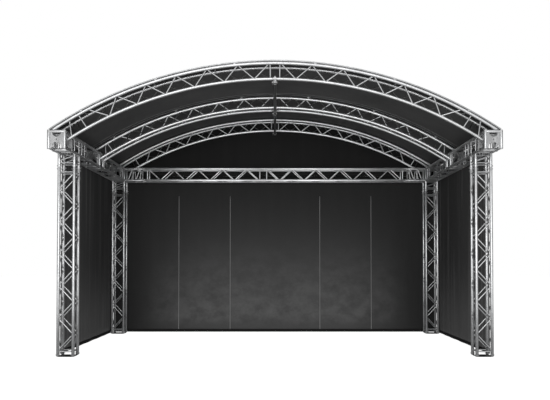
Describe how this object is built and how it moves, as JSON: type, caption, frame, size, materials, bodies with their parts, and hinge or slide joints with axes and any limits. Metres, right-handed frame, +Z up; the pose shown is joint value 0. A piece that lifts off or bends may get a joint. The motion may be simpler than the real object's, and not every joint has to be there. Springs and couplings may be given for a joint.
{
  "type": "arched truss stage roof",
  "caption": "Free-standing stage roof: box-truss towers and eaves carry arched trusses with a curved canvas roof, canvas walls and a ridge pipe hung in right-angle couplers.",
  "frame": {"origin": "on the floor below the middle of the whole object", "axes": "+Z up, +X to the right of someone who faces the stage, +Y to the back of the stage"},
  "size_m": [6.9526, 4.3063, 4.574],
  "materials": {
    "aluminium_tube": "mill finish, lightly scuffed",
    "black_steel": "satin black",
    "zinc_steel": "bright zinc plate",
    "roof_canvas": "coated canvas, satin",
    "wall_canvas": "coated canvas, matt"
  },
  "bodies": {
    "roof": {"base_plate_front_left": "black_steel", "base_plate_front_right": "black_steel", "base_plate_rear_left": "black_steel", "base_plate_rear_right": "black_steel", "tower_front_left": "aluminium_tube", "tower_front_right": "aluminium_tube", "tower_rear_left": "aluminium_tube", "tower_rear_right": "aluminium_tube", "box_corner_front_left": "aluminium_tube", "box_corner_front_right": "aluminium_tube", "tee_front_left": "aluminium_tube", "tee_front_right": "aluminium_tube", "box_mid_left": "aluminium_tube", "box_mid_right": "aluminium_tube", "corner_rear_left": "aluminium_tube", "corner_rear_right": "aluminium_tube", "eave_front_left": "aluminium_tube", "eave_front_right": "aluminium_tube", "eave_rear_left": "aluminium_tube", "eave_rear_right": "aluminium_tube", "rear_truss_left": "aluminium_tube", "rear_truss_right": "aluminium_tube", "arch_front_left": "aluminium_tube", "arch_front_right": "aluminium_tube", "arch_mid_left": "aluminium_tube", "arch_mid_right": "aluminium_tube", "arch_rear_left": "aluminium_tube", "arch_rear_right": "aluminium_tube", "keder_rail_front": "aluminium_tube", "keder_rail_mid": "aluminium_tube", "keder_rail_rear": "aluminium_tube", "canopy_front": "roof_canvas", "canopy_rear": "roof_canvas", "gable_rear": "wall_canvas", "wall_rear": "wall_canvas", "wall_left": "wall_canvas", "wall_right": "wall_canvas", "ridge_pipe": "aluminium_tube", "coupler_front": "zinc_steel", "coupler_mid_front": "zinc_steel", "coupler_mid_rear": "zinc_steel", "coupler_rear": "zinc_steel", "arch_cap_front": "zinc_steel", "arch_cap_mid_front": "zinc_steel", "arch_cap_mid_rear": "zinc_steel", "arch_cap_rear": "zinc_steel", "pipe_cap_front": "zinc_steel", "pipe_cap_mid_front": "zinc_steel", "pipe_cap_mid_rear": "zinc_steel", "pipe_cap_rear": "zinc_steel"},
    "swing_arch_front": {"arch_bolt_front": "zinc_steel"},
    "swing_arch_mid_front": {"arch_bolt_mid_front": "zinc_steel"},
    "swing_arch_mid_rear": {"arch_bolt_mid_rear": "zinc_steel"},
    "swing_arch_rear": {"arch_bolt_rear": "zinc_steel"},
    "swing_pipe_front": {"pipe_bolt_front": "zinc_steel"},
    "swing_pipe_mid_front": {"pipe_bolt_mid_front": "zinc_steel"},
    "swing_pipe_mid_rear": {"pipe_bolt_mid_rear": "zinc_steel"},
    "swing_pipe_rear": {"pipe_bolt_rear": "zinc_steel"}
  },
  "joints": [
    {"name": "arch_bolt_front_swing", "type": "hinge", "parent": "roof", "child": "swing_arch_front", "pos_m": [0, -2.05172, 4.30908], "axis": [1, 0, 0], "range_deg": [0, 90]},
    {"name": "arch_bolt_mid_front_swing", "type": "hinge", "parent": "roof", "child": "swing_arch_mid_front", "pos_m": [0, -0.17172, 4.30908], "axis": [1, 0, 0], "range_deg": [0, 90]},
    {"name": "arch_bolt_mid_rear_swing", "type": "hinge", "parent": "roof", "child": "swing_arch_mid_rear", "pos_m": [0, 0.06828, 4.30908], "axis": [1, 0, 0], "range_deg": [0, 90]},
    {"name": "arch_bolt_rear_swing", "type": "hinge", "parent": "roof", "child": "swing_arch_rear", "pos_m": [0, 1.94827, 4.30908], "axis": [1, 0, 0], "range_deg": [0, 90]},
    {"name": "pipe_bolt_front_swing", "type": "hinge", "parent": "roof", "child": "swing_pipe_front", "pos_m": [-0.04184, -2.00815, 4.26476], "axis": [0, 1, 0], "range_deg": [0, 90]},
    {"name": "pipe_bolt_mid_front_swing", "type": "hinge", "parent": "roof", "child": "swing_pipe_mid_front", "pos_m": [-0.04184, -0.12815, 4.26476], "axis": [0, 1, 0], "range_deg": [0, 90]},
    {"name": "pipe_bolt_mid_rear_swing", "type": "hinge", "parent": "roof", "child": "swing_pipe_mid_rear", "pos_m": [-0.04184, 0.11185, 4.26476], "axis": [0, 1, 0], "range_deg": [0, 90]},
    {"name": "pipe_bolt_rear_swing", "type": "hinge", "parent": "roof", "child": "swing_pipe_rear", "pos_m": [-0.04184, 1.99185, 4.26476], "axis": [0, 1, 0], "range_deg": [0, 90]}
  ]
}
